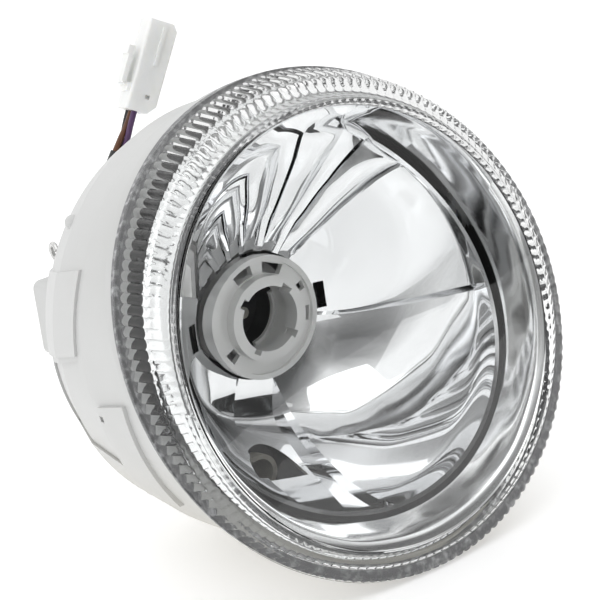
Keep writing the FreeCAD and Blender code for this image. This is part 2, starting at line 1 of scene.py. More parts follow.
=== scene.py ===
"""Looks of a round scooter headlamp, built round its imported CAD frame.

Metres.  The bulb axis runs along Y, the lamp faces -Y, +Z is up and +X is to the right seen
from the front.  Rings of the lens, the bezel and the reflector's rim are given by a step
along the raked flank: step 0 is the bead round the front face and step 1 the rear edge.
"""
import logging
import math
from dataclasses import dataclass, field
from enum import Enum
from typing import Any, Sequence

import bpy
import numpy as np
from mathutils import Matrix, Vector


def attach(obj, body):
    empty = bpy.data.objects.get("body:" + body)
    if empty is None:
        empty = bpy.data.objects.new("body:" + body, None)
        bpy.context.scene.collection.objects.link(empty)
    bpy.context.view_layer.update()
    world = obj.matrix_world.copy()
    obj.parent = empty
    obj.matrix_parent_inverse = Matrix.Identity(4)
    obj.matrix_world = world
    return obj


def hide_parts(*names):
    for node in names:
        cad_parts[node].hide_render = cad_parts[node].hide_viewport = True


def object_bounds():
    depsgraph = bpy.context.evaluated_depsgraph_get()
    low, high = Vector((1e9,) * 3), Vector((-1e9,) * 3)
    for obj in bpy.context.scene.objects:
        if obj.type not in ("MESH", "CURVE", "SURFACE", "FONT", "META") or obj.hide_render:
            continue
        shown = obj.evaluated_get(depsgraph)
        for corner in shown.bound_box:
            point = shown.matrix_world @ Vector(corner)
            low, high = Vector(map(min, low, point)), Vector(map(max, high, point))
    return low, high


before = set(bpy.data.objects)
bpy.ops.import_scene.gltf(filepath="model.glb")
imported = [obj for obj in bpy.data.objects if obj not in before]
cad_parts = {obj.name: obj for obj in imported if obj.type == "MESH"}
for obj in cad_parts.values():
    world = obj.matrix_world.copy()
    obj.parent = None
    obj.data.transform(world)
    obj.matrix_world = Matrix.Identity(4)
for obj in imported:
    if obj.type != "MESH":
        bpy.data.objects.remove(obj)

LOG = logging.getLogger("headlamp")
MM = 0.001
LOOK = "_look"
CAD_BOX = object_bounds()

Colour = tuple[float, float, float]
Rows = list[list[Vector]]


# Shader building ----------------------------------------------------------------------------


class Signal:
    """An output socket that can be used in arithmetic; each operator adds one Math node."""

    def __init__(self, tree: "FinishTree", socket: bpy.types.NodeSocket) -> None:
        """Wrap a socket of a tree."""
        self.tree = tree
        self.socket = socket

    def _math(self, operation: str, *values: Any) -> "Signal":
        """Return the result of a Math node on the given values."""
        made = self.tree.node("ShaderNodeMath", {"operation": operation}, dict(enumerate(values)))
        return Signal(self.tree, made.outputs[0])

    def __add__(self, other: Any) -> "Signal":
        """Sum with a signal or number."""
        return self._math("ADD", self, other)

    def __radd__(self, other: Any) -> "Signal":
        """Sum with a number on the left."""
        return self._math("ADD", other, self)

    def __sub__(self, other: Any) -> "Signal":
        """Difference from a signal or number."""
        return self._math("SUBTRACT", self, other)

    def __rsub__(self, other: Any) -> "Signal":
        """Difference of a number on the left."""
        return self._math("SUBTRACT", other, self)

    def __mul__(self, other: Any) -> "Signal":
        """Product with a signal or number."""
        return self._math("MULTIPLY", self, other)

    def __rmul__(self, other: Any) -> "Signal":
        """Product with a number on the left."""
        return self._math("MULTIPLY", other, self)

    def above(self, low: float, high: float) -> "Signal":
        """Return a smooth mask that rises from 0 at low to 1 at high.

        Args:
            low: Value where the mask is 0.
            high: Value where the mask is 1.

        Returns:
            The mask.
        """
        made = self.tree.node("ShaderNodeMapRange", {"interpolation_type": "SMOOTHSTEP", "clamp": True},
                              {"Value": self, "From Min": low, "From Max": high})
        return Signal(self.tree, made.outputs[0])


class FinishTree:
    """The node tree of one material."""

    def __init__(self, name: str) -> None:
        """Start an empty material of that name.

        Args:
            name: The finish's name.
        """
        self.material = bpy.data.materials.new(name + LOOK)
        self.material.use_nodes = True
        self.tree = self.material.node_tree
        self.tree.nodes.clear()
        self.place = self.node("ShaderNodeTexCoord").outputs["Object"]

    def node(self, kind: str, settings: dict[str, Any] | None = None,
             inputs: dict[Any, Any] | None = None) -> bpy.types.Node:
        """Add any node.

        Args:
            kind: The node's type name.
            settings: Its own settings, set before the sockets; "stops" fills a colour ramp.
            inputs: A value, signal or socket for each named or numbered input.

        Returns:
            The new node.
        """
        made = self.tree.nodes.new(kind)
        for key, value in (settings or {}).items():
            if key == "stops":
                fill_ramp(made.color_ramp, value)
            else:
                setattr(made, key, value)
        for key, value in (inputs or {}).items():
            if isinstance(value, Signal):
                value = value.socket
            if isinstance(value, bpy.types.NodeSocket):
                self.tree.links.new(value, made.inputs[key])
            else:
                made.inputs[key].default_value = value
        return made

    def noise(self, scale: float, detail: float = 2.0, stretch: Colour = (1, 1, 1),
              roughness: float = 0.5) -> Signal:
        """Return a noise value from 0 to 1.

        Args:
            scale: Features per metre.
            detail: Octaves of finer detail.
            stretch: Scale along X, Y and Z.
            roughness: Weight of the finer octaves.

        Returns:
            The noise's value.
        """
        spot = self.node("ShaderNodeMapping", None, {"Vector": self.place, "Scale": stretch})
        made = self.node("ShaderNodeTexNoise", None, {"Vector": spot.outputs[0], "Scale": scale,
                                                      "Detail": detail, "Roughness": roughness})
        return Signal(self, made.outputs[0])

    def axis(self, index: int) -> Signal:
        """Return the X, Y or Z place on the surface, in metres."""
        made = self.node("ShaderNodeSeparateXYZ", None, {0: self.place})
        return Signal(self, made.outputs[index])

    def inward(self) -> Signal:
        """Return how far the surface faces the bulb axis: 1 straight at it, -1 straight away.

        Returns:
            A value from -1 to 1.
        """
        flat = self.node("ShaderNodeVectorMath", {"operation": "MULTIPLY"}, {0: self.place, 1: (-1, 0, -1)})
        axis = self.node("ShaderNodeVectorMath", {"operation": "NORMALIZE"}, {0: flat.outputs[0]})
        facing = self.node("ShaderNodeTexCoord").outputs["Normal"]
        made = self.node("ShaderNodeVectorMath", {"operation": "DOT_PRODUCT"},
                         {0: axis.outputs[0], 1: facing})
        return Signal(self, made.outputs["Value"])

    def blend(self, factor: Any, first: Any, second: Any) -> bpy.types.NodeSocket:
        """Return a colour between two, each a colour or a socket.

        Args:
            factor: Share of the second, a number or a signal.
            first: Colour at 0.
            second: Colour at 1.

        Returns:
            The colour's socket.
        """
        pair = [c if isinstance(c, bpy.types.NodeSocket) else (*c, 1.0) for c in (first, second)]
        made = self.node("ShaderNodeMix", {"data_type": "RGBA"}, {0: factor, 6: pair[0], 7: pair[1]})
        return made.outputs[2]

    def bump(self, height: Signal, depth: float, strength: float = 1.0) -> bpy.types.NodeSocket:
        """Return a normal bent by a height that is depth metres at its full value."""
        made = self.node("ShaderNodeBump", None,
                         {"Height": height, "Distance": depth, "Strength": strength})
        return made.outputs[0]

    def finish(self, shader: bpy.types.Node) -> bpy.types.Material:
        """Send the shader to the output and return the material."""
        self.node("ShaderNodeOutputMaterial", None, {"Surface": shader.outputs[0]})
        return self.material

    def principled(self, **inputs: Any) -> bpy.types.Node:
        """Add a Principled shader; underscores in names stand for spaces.

        Args:
            inputs: Values, signals or sockets of its inputs.

        Returns:
            The shader's node.
        """
        named = {key.replace("_", " "): value for key, value in inputs.items()}
        for key in ("Base Color", "Emission Color"):
            if isinstance(named.get(key), tuple):
                named[key] = (*named[key], 1.0)
        return self.node("ShaderNodeBsdfPrincipled", None, named)


def fill_ramp(ramp: bpy.types.ColorRamp, stops: Sequence[tuple[float, Sequence[float]]]) -> None:
    """Give a colour ramp its stops, each a place and a colour.

    Args:
        ramp: The colour ramp.
        stops: Places from 0 to 1, each with its colour.
    """
    while len(ramp.elements) > 1:
        ramp.elements.remove(ramp.elements[-1])
    ramp.elements[0].position, ramp.elements[0].color = stops[0][0], (*stops[0][1], 1.0)
    for place, colour in stops[1:]:
        ramp.elements.new(place).color = (*colour, 1.0)


# Finishes -----------------------------------------------------------------------------------


@dataclass(frozen=True)
class Finish:
    """A surface finish; each kind builds its own material once."""

    name: str

    def make(self) -> bpy.types.Material:
        """Return the material, built on first use."""
        return bpy.data.materials.get(self.name + LOOK) or self.build()

    def build(self) -> bpy.types.Material:
        """Build the material's nodes."""
        raise NotImplementedError


@dataclass(frozen=True)
class ClearPlastic(Finish):
    """Polished clear moulding that lets lamps through."""

    tint: Colour = (0.985, 0.992, 0.99)
    ior: float = 1.5
    shade: Colour = (0.93, 0.94, 0.94)

    def build(self) -> bpy.types.Material:
        """Refracting clear plastic with faint moulding flow, open to lamplight.

        Returns:
            The finished material.
        """
        tree = FinishTree(self.name)
        flow = tree.noise(26.0, 1.0)
        clear = tree.principled(Base_Color=self.tint, Roughness=0.0, IOR=self.ior, Transmission_Weight=1.0,
                                Normal=tree.bump(flow, 0.00003))
        lamps = tree.node("ShaderNodeBsdfTransparent", None, {"Color": (*self.shade, 1.0)})
        ray = tree.node("ShaderNodeLightPath")
        both = tree.node("ShaderNodeMixShader", None, {0: ray.outputs["Is Shadow Ray"], 1: clear.outputs[0],
                                                       2: lamps.outputs[0]})
        return tree.finish(both)


@dataclass(frozen=True)
class Metallised(Finish):
    """Vacuum-metallised plastic, mirror bright or satin."""

    colour: Colour = (0.90, 0.905, 0.91)
    roughness: float = 0.03
    ripple: float = 0.00002
    haze: float = 0.05
    metal: float = 1.0

    def build(self) -> bpy.types.Material:
        """Mirror coat over moulded plastic: faint ripple, haze and dust.

        Returns:
            The finished material.
        """
        tree = FinishTree(self.name)
        haze = tree.noise(55.0, 4.0).above(0.45, 0.75)
        dust = tree.noise(2600.0, 1.0).above(0.72, 0.80)
        rough = self.roughness + haze * self.haze + dust * 0.2
        colour = tree.blend(haze * 0.35, self.colour, tuple(0.94 * c for c in self.colour))
        shader = tree.principled(Base_Color=colour, Metallic=self.metal, Roughness=rough,
                                 Normal=tree.bump(tree.noise(48.0, 2.0), self.ripple))
        return tree.finish(shader)


@dataclass(frozen=True)
class MouldedHousing(Finish):
    """Light grey moulded housing with a fine eroded surface."""

    colour: Colour = (0.63, 0.635, 0.63)
    shade: Colour = (0.50, 0.50, 0.48)
    # Painted shade: a darker, warmer colour blended in towards the bottom, where the underside lies in shade.
    painted_under_shade: Colour = (0.52, 0.48, 0.39)
    # Painted shade: near-black colour for the faces inside the housing that look at the bulb axis; the moulding
    # there is grey in shade.
    inner: Colour = (0.012, 0.012, 0.013)
    low: float = -0.075
    high: float = -0.01

    def build(self) -> bpy.types.Material:
        """Satin grey with flow clouds and a fine grain, plus painted shade: darker and warmer towards the
        bottom, near-black on inside faces that look at the bulb axis.

        Returns:
            The finished material.
        """
        tree = FinishTree(self.name)
        cloud = tree.noise(14.0, 4.0).above(0.35, 0.75)
        base = tree.blend(cloud * 0.35, self.colour, self.shade)
        # Painted shade: the colour turns darker and warmer from high down to low, towards the bottom of the
        # housing.
        under = 1.0 - tree.axis(2).above(self.low, self.high)
        skin = tree.blend(under * 0.55, base, self.painted_under_shade)
        # Painted shade: faces that look at the bulb axis, in front of the rear wall, are blended to near-black
        # as the shaded inside of the housing.
        inside_shade_mask = tree.inward().above(0.62, 0.75) * (1.0 - tree.axis(1).above(-0.0118, -0.0112))
        colour = tree.blend(inside_shade_mask, skin, self.inner)
        grain = tree.noise(2400.0, 3.0, roughness=0.65)
        scuff = tree.noise(160.0, 5.0, (1.0, 6.0, 1.0)).above(0.60, 0.72)
        rough = 0.42 + cloud * 0.08 + scuff * 0.12
        height = grain * 0.6 + tree.noise(320.0, 2.0) * 0.4
        shader = tree.principled(Base_Color=colour, Roughness=rough, Specular_IOR_Level=0.45,
                                 Normal=tree.bump(height, 0.00005))
        return tree.finish(shader)


@dataclass(frozen=True)
class Rubber(Finish):
    """Soft rubber or extruded sleeve."""

    colour: Colour = (0.022, 0.022, 0.023)
    roughness: float = 0.6
    grain: float = 1800.0
    bloom_scale: float = 120.0
    bloom_gain: float = 1.9

    def build(self) -> bpy.types.Material:
        """Matt rubber with bloom and a fine grain.

        Returns:
            The finished material.
        """
        tree = FinishTree(self.name)
        bloom = tree.noise(self.bloom_scale, 4.0).above(0.45, 0.8)
        pale = tuple(c * self.bloom_gain + 0.012 for c in self.colour)
        colour = tree.blend(bloom * 0.5, self.colour, pale)
        shader = tree.principled(Base_Color=colour, Roughness=self.roughness + bloom * 0.15,
                                 Normal=tree.bump(tree.noise(self.grain, 3.0), 0.00006))
        return tree.finish(shader)


@dataclass(frozen=True)
class Nylon(Finish):
    """Natural nylon that light sinks into."""

    colour: Colour = (0.93, 0.94, 0.92)
    deep: Colour = (0.85, 0.86, 0.83)
    depth: float = 0.0022

    def build(self) -> bpy.types.Material:
        """Milky translucent nylon with flow marks and a soft shine.

        Returns:
            The finished material.
        """
        tree = FinishTree(self.name)
        flow = tree.noise(210.0, 3.0, (1, 1, 0.35)).above(0.35, 0.8)
        colour = tree.blend(flow * 0.6, self.colour, self.deep)
        shader = tree.principled(Base_Color=colour, Roughness=0.30 + flow * 0.12, Subsurface_Weight=0.55,
                                 Subsurface_Radius=(1.0, 0.95, 0.85), Subsurface_Scale=self.depth,
                                 Normal=tree.bump(tree.noise(900.0, 2.0), 0.00004))
        return tree.finish(shader)


@dataclass(frozen=True)
class Insulation(Finish):
    """Extruded PVC insulation."""

    colour: Colour = (0.16, 0.07, 0.03)

    def build(self) -> bpy.types.Material:
        """Soft-shine PVC with faint drawn streaks.

        Returns:
            The finished material.
        """
        tree = FinishTree(self.name)
        streak = tree.noise(900.0, 3.0, (1, 1, 0.15)).above(0.4, 0.7)
        colour = tree.blend(streak * 0.5, self.colour, tuple(c * 0.6 for c in self.colour))
        shader = tree.principled(Base_Color=colour, Roughness=0.34 + streak * 0.1,
                                 Normal=tree.bump(streak, 0.00003))
        return tree.finish(shader)


@dataclass(frozen=True)
class PlainMetal(Finish):
    """Turned, drawn or plated metal."""

    colour: Colour = (0.62, 0.62, 0.61)
    roughness: float = 0.25
    streaks: Colour = (1, 1, 1)

    def build(self) -> bpy.types.Material:
        """Metal with tool marks and slight tarnish.

        Returns:
            The finished material.
        """
        tree = FinishTree(self.name)
        marks = tree.noise(1400.0, 2.0, self.streaks)
        tarnish = tree.noise(110.0, 4.0).above(0.5, 0.8)
        colour = tree.blend(tarnish * 0.6, self.colour, tuple(c * 0.6 for c in self.colour))
        shader = tree.principled(Base_Color=colour, Metallic=1.0, Roughness=self.roughness + tarnish * 0.2,
                                 Normal=tree.bump(marks, 0.00003))
        return tree.finish(shader)


class Coat(Enum):
    """The finish of each kind of part."""

    LENS = ClearPlastic("clear_polycarbonate")
    SEAL = Rubber("lens_seal", (0.20, 0.20, 0.205), 0.5, 1800.0, 420.0, 5.5)
    RUBBER = Rubber("black_rubber")
    GREY_RUBBER = Rubber("grey_rubber", (0.055, 0.056, 0.058), 0.7, 1400.0)
    HOUSING = MouldedHousing("housing_grey")
    HOUSING_CAP = MouldedHousing("cap_grey", (0.53, 0.535, 0.53), (0.44, 0.44, 0.42))
    REFLECTOR = Metallised("metallised_reflector", (0.88, 0.885, 0.895), 0.03, 0.000008, 0.03)
    BEZEL = Metallised("metallised_bezel", (0.92, 0.925, 0.93), 0.10, 0.00006, 0.06)
    SEAT = Metallised("satin_seat", (0.96, 0.96, 0.95), 0.30, 0.00002, 0.10, 0.15)
    HOLDER = Rubber("holder_grey", (0.30, 0.285, 0.25), 0.55, 900.0)
    NYLON = Nylon("white_nylon")
    SLEEVE = Rubber("black_sleeve", (0.020, 0.020, 0.021), 0.48, 1000.0)
    BROWN = Insulation("brown_pvc", (0.13, 0.050, 0.022))
    VIOLET = Insulation("violet_pvc", (0.10, 0.045, 0.13))
    BLACK = Insulation("black_pvc", (0.02, 0.02, 0.022))
    BRASS = PlainMetal("brass_insert", (0.72, 0.56, 0.30), 0.28)
    TIN = PlainMetal("tinned_brass", (0.70, 0.69, 0.64), 0.30)
    STEEL = PlainMetal("spring_steel", (0.66, 0.66, 0.65), 0.16, (1, 1, 8))


# Mesh building ------------------------------------------------------------------------------


def put(name: str, mesh: bpy.types.Mesh, coat: Coat) -> bpy.types.Object:
    """Link a mesh as an object with one finish and return it.

    Args:
        name: The object's name.
        mesh: Its mesh.
        coat: Its finish.

    Returns:
        The linked object.
    """
    mesh.materials.clear()
    mesh.materials.append(coat.value.make())
    made = bpy.data.objects.new(name, mesh)
    bpy.context.scene.collection.objects.link(made)
    return made


def sheet_of_rows(name: str, rows: Rows, around: bool = True, loop: bool = False,
                  crease: float = 40.0) -> bpy.types.Mesh:
    """Make a mesh of quads from rows of equally many points.

    Args:
        name: The mesh's name.
        rows: The rows of points.
        around: Whether each row closes on itself.
        loop: Whether the last row joins the first.
        crease: Edges sharper than this many degrees stay sharp.

    Returns:
        The mesh.
    """
    wide = len(rows[0])
    points = [p for row in rows for p in row]
    faces = []
    for r in range(len(rows) if loop else len(rows) - 1):
        here, there = r * wide, ((r + 1) % len(rows)) * wide
        for c in range(wide if around else wide - 1):
            d = (c + 1) % wide
            faces.append((here + c, here + d, there + d, there + c))
    if not loop and around:
        faces.append(tuple(range(wide - 1, -1, -1)))
        last = (len(rows) - 1) * wide
        faces.append(tuple(range(last, last + wide)))
    return smooth_mesh(name, points, faces, crease)


def smooth_mesh(name: str, points: Sequence[Sequence[float]], faces: Sequence[Sequence[int]],
                crease: float = 40.0) -> bpy.types.Mesh:
    """Make a smooth-shaded closed mesh that faces outwards.

    Args:
        name: The mesh's name.
        points: Its points.
        faces: Its faces, each a row of point numbers.
        crease: Edges that bend more than this many degrees stay sharp.

    Returns:
        The mesh.
    """
    mesh = bpy.data.meshes.new(name)
    mesh.from_pydata([tuple(p) for p in points], [], faces)
    mesh.validate()
    if sum(p.center.dot(p.normal) * p.area for p in mesh.polygons) < 0:
        mesh.flip_normals()
    mesh.shade_smooth()
    mesh.set_sharp_from_angle(angle=math.radians(crease))
    return mesh


def carve(target: bpy.types.Object, cutters: Sequence[bpy.types.Object], crease: float = 30.0) -> None:
    """Cut solids out of an object for good and remove them.

    Args:
        target: The object to cut.
        cutters: The solids, which are gone afterwards.
        crease: Edges that bend more than this many degrees stay sharp.
    """
    for cutter in cutters:
        cut = target.modifiers.new("cut", "BOOLEAN")
        cut.object, cut.operation, cut.solver = cutter, "DIFFERENCE", "EXACT"
    bpy.context.view_layer.update()
    seen = target.evaluated_get(bpy.context.evaluated_depsgraph_get())
    mesh = bpy.data.meshes.new_from_object(seen)
    target.modifiers.clear()
    target.data = mesh
    mesh.set_sharp_from_angle(angle=math.radians(crease))
    for cutter in cutters:
        bpy.data.objects.remove(cutter)


def rod_rows(start: Vector, end: Vector, radius: float, sides: int = 48) -> Rows:
    """Return the two end rings of a rod.

    Args:
        start: Middle of one end.
        end: Middle of the other end.
        radius: The rod's radius.
        sides: Points round each ring.

    Returns:
        Two rows of points.
    """
    turn = (end - start).to_track_quat("Z", "Y")
    ring = [turn @ Vector((radius * math.cos(a), radius * math.sin(a), 0))
            for a in (math.tau * k / sides for k in range(sides))]
    return [[start + p for p in ring], [end + p for p in ring]]


def box_mesh(name: str, low: Vector, high: Vector) -> bpy.types.Mesh:
    """Make a box between two corners.

    Args:
        name: The mesh's name.
        low: The lowest corner.
        high: The highest corner.

    Returns:
        The mesh.
    """
    points = [(x, y, z) for x in (low.x, high.x) for y in (low.y, high.y) for z in (low.z, high.z)]
    faces = [(0, 1, 3, 2), (4, 6, 7, 5), (0, 4, 5, 1), (2, 3, 7, 6), (0, 2, 6, 4), (1, 5, 7, 3)]
    return smooth_mesh(name, points, faces)


def smooth_through(stops: Sequence[tuple[float, ...]], count: int) -> list[list[float]]:
    """Return count rows on a smooth monotone curve through the given rows of numbers.

    Args:
        stops: Rows of numbers; the last two of each measure the way along.
        count: How many rows to return.

    Returns:
        The rows.
    """
    table = np.array(stops, float)
    reach = np.concatenate([[0], np.cumsum(np.hypot(*np.diff(table[:, -2:], axis=0).T))])
    at = np.linspace(0, reach[-1], count)
    return np.stack([hermite(reach, column, at) for column in table.T], axis=1).tolist()


def hermite(xs: np.ndarray, ys: np.ndarray, at: np.ndarray) -> np.ndarray:
    """Return a monotone cubic through (xs, ys), read at the given places.

    Args:
        xs: Rising places.
        ys: The value at each place.
        at: Places to read.

    Returns:
        The values read.
    """
    step = np.diff(xs)
    slope = np.diff(ys) / step
    product, total = slope[:-1] * slope[1:], slope[:-1] + slope[1:]
    inner = np.where(product > 0, 2 * product / (total + 1e-12), 0)
    ends = np.concatenate([[slope[0]], inner, [slope[-1]]])
    k = np.clip(np.searchsorted(xs, at, side="right") - 1, 0, len(step) - 1)
    t = (at - xs[k]) / step[k]
    h = step[k]
    return ((2 * t ** 3 - 3 * t ** 2 + 1) * ys[k] + (t ** 3 - 2 * t ** 2 + t) * h * ends[k]
            + (-2 * t ** 3 + 3 * t ** 2) * ys[k + 1] + (t ** 3 - t ** 2) * h * ends[k + 1])


@dataclass(frozen=True)
class RakedRings:
    """The stack of raked circles that the lens, the bezel and the reflector's rim share."""

    bead_y: float = -100.0
    depth: float = 11.7
    bead_tilt: float = 14.5
    more_tilt: float = 6.5

    def at(self, step: float, radius: float, turn: float) -> Vector:
        """Return a point on one of the rings.

        Args:
            step: Place along the flank, 0 at the bead and 1 at the rear edge.
            radius: Radius in mm.
            turn: Direction in radians from +X towards up.

        Returns:
            The point in metres.
        """
        tilt = math.radians(self.bead_tilt + self.more_tilt * step)
        up = Vector((0.0, math.sin(tilt), math.cos(tilt)))
        centre = Vector((0.0, self.bead_y + self.depth * step, 0.0))
        return (centre + radius * (Vector((math.cos(turn), 0, 0)) + math.sin(turn) * up)) * MM


RINGS = RakedRings()


# Camera, lead and stage ----------------------------------------------------------------------


@dataclass
class Studio:
    """Camera, soft lights, floor and surroundings."""

    azimuth: float = -36.005
    elevation: float = 17.632
    roll: float = -8.725
    distance: float = 0.92887
    lens_mm: float = 192.0
    aside: tuple[float, float] = (0.020329, -0.007891)
    aim: Vector = field(default_factory=lambda: Vector((0.0, -0.100, 0.0)))
    cards: tuple[tuple[Colour, tuple[tuple[float, float], ...]], ...] = (
        ((0.57, -0.82, 0.02), ((0.0, 1.0), (0.50, 0.95), (0.72, 0.40), (0.87, 0.07), (1.0, 0.04))),
        ((-0.56, -0.77, 0.30), ((0.0, 1.0), (0.86, 1.0), (0.95, 0.40), (1.0, 0.22))))

    def axes(self) -> tuple[Vector, Vector, Vector]:
        """Return the camera's right, up and back directions.

        Returns:
            Three unit vectors.
        """
        a, e, r = (math.radians(v) for v in (self.azimuth, self.elevation, self.roll))
        back = Vector((math.sin(a) * math.cos(e), -math.cos(a) * math.cos(e), math.sin(e)))
        right = Vector((math.cos(a), math.sin(a), 0.0))
        up = back.cross(right)
        return right * math.cos(r) + up * math.sin(r), up * math.cos(r) - right * math.sin(r), back

    def camera(self) -> None:
        """Make the camera and look through it."""
        right, up, back = self.axes()
        data = bpy.data.cameras.new("camera")
        data.lens, data.sensor_width, data.clip_start = self.lens_mm, 36.0, 0.05
        made = bpy.data.objects.new("camera", data)
        place = self.aim + self.distance * back - self.aside[0] * right - self.aside[1] * up
        turn = Matrix((right, up, back)).transposed().to_4x4()
        made.matrix_world = Matrix.Translation(place) @ turn
        bpy.context.scene.collection.objects.link(made)
        bpy.context.scene.camera = made

    def softbox(self, name: str, azimuth: float, elevation: float, size: tuple[float, float],
                power: float) -> None:
        """Hang one rectangular soft light that faces the lamp.

        Args:
            name: The light's name.
            azimuth: Direction in degrees, 0 in front and 90 to the right.
            elevation: Height in degrees.
            size: Width and height in metres.
            power: Power in watts.
        """
        a, e = math.radians(azimuth), math.radians(elevation)
        back = Vector((math.sin(a) * math.cos(e), -math.cos(a) * math.cos(e), math.sin(e)))
        data = bpy.data.lights.new(name, "AREA")
        data.shape, data.size, data.size_y, data.energy = "RECTANGLE", size[0], size[1], power
        made = bpy.data.objects.new(name, data)
        made.location = Vector((0, -0.06, 0)) + back * 1.1
        made.rotation_euler = (-back).to_track_quat("-Z", "Y").to_euler()
        bpy.context.scene.collection.objects.link(made)

    def lights(self) -> None:
        """Hang the soft lights."""
        self.softbox("key_softbox", -75.0, 40.0, (0.7, 0.9), 0.6)
        self.softbox("fill_softbox", 70.0, 30.0, (0.8, 0.8), 0.7)
        self.softbox("top_softbox", 0.0, 80.0, (1.2, 0.7), 0.6)
        self.softbox("front_softbox", -15.0, 62.0, (0.9, 0.6), 1.3)
        self.softbox("rear_softbox", 190.0, 45.0, (1.0, 0.8), 0.8)

    def surroundings(self) -> None:
        """Light tent: bright all round, with a dark card at the front right and a dark camera."""
        world = bpy.data.worlds.new("light_tent")
        world.use_nodes = True
        bpy.context.scene.world = world
        nodes, links = world.node_tree.nodes, world.node_tree.links
        nodes.clear()
        spot = nodes.new("ShaderNodeTexCoord")
        tent = nodes.new("ShaderNodeBackground")
        both = nodes.new("ShaderNodeMath")
        both.operation = "MULTIPLY"
        for k, (toward, stops) in enumerate(self.cards):
            facing = nodes.new("ShaderNodeVectorMath")
            facing.operation = "DOT_PRODUCT"
            facing.inputs[1].default_value = Vector(toward).normalized()
            links.new(spot.outputs["Generated"], facing.inputs[0])
            ramp = nodes.new("ShaderNodeValToRGB")
            fill_ramp(ramp.color_ramp, [(place, (level,) * 3) for place, level in stops])
            links.new(facing.outputs["Value"], ramp.inputs[0])
            links.new(ramp.outputs[0], both.inputs[k])
        links.new(both.outputs[0], tent.inputs["Color"])
        tent.inputs["Strength"].default_value = 0.95
        output = nodes.new("ShaderNodeOutputWorld")
        links.new(tent.outputs[0], output.inputs["Surface"])

    def floor(self) -> None:
        """Lay a plain pale floor under the lamp."""
        low = CAD_BOX[0].z - 0.0005
        mesh = bpy.data.meshes.new("floor")
        mesh.from_pydata([(-9, -9, low), (9, -9, low), (9, 9, low), (-9, 9, low)], [], [(0, 1, 2, 3)])
        tree = FinishTree("pale_floor")
        shader = tree.principled(Base_Color=(0.92, 0.92, 0.92), Roughness=0.9,
                                 Emission_Color=(1.0, 1.0, 1.0), Emission_Strength=0.30)
        mesh.materials.append(tree.finish(shader))
        made = bpy.data.objects.new("floor", mesh)
        bpy.context.scene.collection.objects.link(made)

    def colour(self) -> None:
        """Show plain display colours, so that white stays white."""
        bpy.context.scene.view_settings.view_transform = "Standard"


@dataclass
class Lead:
    """Sleeve with three wires that stands up behind the housing."""

    sleeve_diameter: float = 5.0
    wire_diameter: float = 1.9
    sleeve_length: float = 97.2
    sleeve_route: tuple[Colour, ...] = (
        (-20.0, -2.0, -34.5), (-20.0, 8.0, -34.5), (-20.0, 17.0, -29.5), (-20.5, 21.5, -19.0),
        (-21.0, 21.5, -6.5), (-20.5, 18.5, 6.5), (-18.0, 13.0, 19.0), (-13.0, 8.2, 31.0), (-6.1, 6.8, 41.6))
    wires: tuple[tuple[str, Coat, tuple[Colour, ...]], ...] = (
        ("wire_brown", Coat.BROWN, ((-7.19, 6.8, 42.31), (-4.8, 6.32, 45.97), (-1.2, 6.41, 49.65),
                                    (1.69, 6.41, 54.56))),
        ("wire_violet", Coat.VIOLET, ((-5.62, 5.68, 41.14), (-3.24, 5.2, 44.81), (-2.14, 3.4, 50.21),
                                      (0.75, 3.4, 55.12))),
        ("wire_black", Coat.BLACK, ((-5.49, 7.92, 41.35), (-3.1, 7.43, 45.01), (-0.26, 9.42, 49.1),
                                    (2.63, 9.42, 54.01))))

    def run(self, name: str, route: Sequence[Colour], diameter: float, coat: Coat) -> bpy.types.Object:
        """Lay one round cord on a smooth line along its route.

        Args:
            name: The piece's name.
            route: The route's points in mm.
            diameter: The cord's diameter in mm.
            coat: Its finish.

        Returns:
            The curve object.
        """
        data = bpy.data.curves.new(name, "CURVE")
        data.dimensions, data.bevel_depth, data.bevel_resolution = "3D", diameter / 2 * MM, 6
        data.use_fill_caps, data.resolution_u = True, 16
        line = data.splines.new("NURBS")
        line.points.add(len(route) - 1)
        for point, place in zip(line.points, route):
            point.co = (*(c * MM for c in place), 1.0)
        line.order_u = 3
        line.use_endpoint_u = True
        data.materials.append(coat.value.make())
        made = bpy.data.objects.new(name, data)
        bpy.context.scene.collection.objects.link(made)
        return made

    def build(self) -> None:
        sleeve = self.run("lead_sleeve_run", self.sleeve_route, self.sleeve_diameter, Coat.SLEEVE)
        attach(sleeve, "housing")
        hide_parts("lead_sleeve")
        on_it: list[Any] = []
        for name, coat, route in self.wires:
            wire = self.run(name + "_run", route, self.wire_diameter, coat)
            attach(wire, "housing")
            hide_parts(name)
            on_it.append(wire)
        on_it += [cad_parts[n] for n in ("connector_body", "connector_latch", "connector_terminals")]


# Lens ----------------------------------------------------------------------------------------


